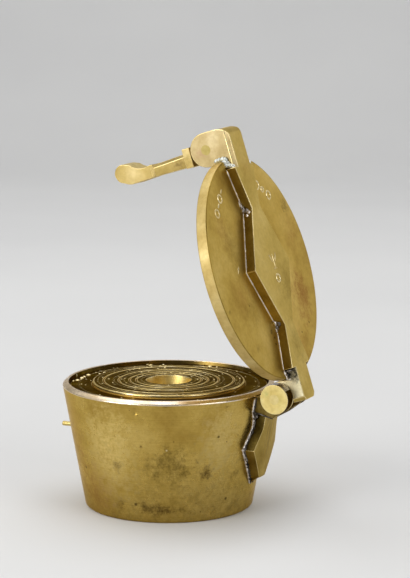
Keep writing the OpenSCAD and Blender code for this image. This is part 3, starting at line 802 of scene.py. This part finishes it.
# Peg
peg_line = rounded([(0, 0, 0, 0, 0), (PEG_R, 0, 0.2, 0, 0),
                    (PEG_R, PEG_LENGTH, 0, 0, 0), (0, PEG_LENGTH, 0, 0, 0)])
peg_pose = Matrix.Translation(PEG_TIP) @ Matrix.Rotation(math.pi / 2, 4, "Y")
lathe("peg_turned", peg_line, "case", [pin_brass], "catch_peg", peg_pose, PEG_SEGMENTS)

# Materials of the pins, and of the hidden CAD nodes, which look like the piece that stands for them
node_looks = {
    "hinge_pin": pin_brass, "hasp_pin": rivet_brass, "case_cup": case_brass, "lid_disc": lid_brass,
    "lid_strap": strap_brass, "hasp": hasp_brass, "hinge_bracket": bracket_brass, "catch_peg": pin_brass,
    **{f"cup_{number}": cup_dark for number in range(1, len(cups) + 1)},
}
for node, material in node_looks.items():
    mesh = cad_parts[node].data
    mesh.materials.clear()
    mesh.materials.append(material)

# Where the camera stands, in metres, and which way it looks
CAMERA_PLACE = (0.2973, -0.6133, 0.1797)
CAMERA_WAY = (-0.41595, 0.89427, -0.16512)

# Floor and backdrop in one sweep, in metres
SWEEP_NEAR = -6.0
SWEEP_BEND = 0.85
SWEEP_BEND_R = 0.5
SWEEP_TOP = 4.0
SWEEP_HALF = 6.0
BEND_STEPS = 16


def sweep():
    """A pale floor that curves up into a backdrop, square to the camera."""
    line = [(SWEEP_NEAR, 0.0), (SWEEP_BEND, 0.0)]
    for k in range(1, BEND_STEPS + 1):
        a = math.pi / 2 * k / BEND_STEPS
        line.append((SWEEP_BEND + SWEEP_BEND_R * math.sin(a), SWEEP_BEND_R - SWEEP_BEND_R * math.cos(a)))
    line.append((SWEEP_BEND + SWEEP_BEND_R, SWEEP_TOP))
    turn = Matrix.Rotation(math.atan2(-CAMERA_WAY[0], CAMERA_WAY[1]), 4, "Z")
    bm = bmesh.new()
    rows = [[bm.verts.new(turn @ Vector((x, y, z))) for x in (-SWEEP_HALF, SWEEP_HALF)] for y, z in line]
    for low, high in zip(rows, rows[1:]):
        bm.faces.new((low[0], low[1], high[1], high[0]))
    return mesh_from("sweep", bm, 60)


paper = bpy.data.materials.new("paper")
paper.use_nodes = True
paper_tree = paper.node_tree
paper_place = add_node(paper_tree, "ShaderNodeTexCoord").outputs["Object"]
paper_clouds = noise(paper_tree, paper_place, 3.0, 3)
paper_colour = ramp(paper_tree, paper_clouds, (0.3, (0.66, 0.66, 0.66)), (0.7, (0.72, 0.72, 0.715)))
paper_shader = paper_tree.nodes["Principled BSDF"]
paper_tree.links.new(paper_colour, paper_shader.inputs["Base Color"])
paper_shader.inputs["Roughness"].default_value = 0.85
floor = bpy.data.objects.new("floor", sweep())
floor.data.materials.append(paper)
scene.collection.objects.link(floor)


# Light
def lamp(name, place, target, size, power):
    """A soft lamp that faces a target; places and sizes in metres, power in watts."""
    data = bpy.data.lights.new(name, "AREA")
    data.shape = "RECTANGLE"
    data.size, data.size_y = size
    data.energy = power
    light = bpy.data.objects.new(name, data)
    scene.collection.objects.link(light)
    light.location = place
    light.rotation_mode = "QUATERNION"
    light.rotation_quaternion = (Vector(target) - Vector(place)).to_track_quat("-Z", "Y")


lamp("key", (-0.5, -0.95, 0.42), (0, 0, 0.06), (0.7, 0.7), 7.5)
lamp("fill", (1.0, -0.35, 0.55), (0, 0, 0.06), (0.7, 0.7), 4)
lamp("left", (-0.8, -0.05, 0.85), (0, 0, 0.08), (1.0, 1.0), 2)
lamp("top", (-0.1, 0.2, 1.0), (0, 0, 0.05), (1.2, 1.2), 7.5)
lamp("back", (0.75, 0.95, 0.5), (0, 0, 0.07), (1.3, 1.0), 2.2)

world = bpy.data.worlds.new("studio")
scene.world = world
world.use_nodes = True
background = world.node_tree.nodes["Background"]
background.inputs["Color"].default_value = (0.5, 0.5, 0.5, 1)
background.inputs["Strength"].default_value = 0.42

# Camera at the photo's angle
camera_data = bpy.data.cameras.new("camera")
camera_data.lens = 143.57
camera_data.sensor_width = 36
camera_data.clip_start = 0.01
camera = bpy.data.objects.new("camera", camera_data)
scene.collection.objects.link(camera)
camera.location = CAMERA_PLACE
camera.rotation_mode = "QUATERNION"
camera.rotation_quaternion = Vector(CAMERA_WAY).to_track_quat("-Z", "Y")
scene.camera = camera

scene.view_settings.view_transform = "Standard"
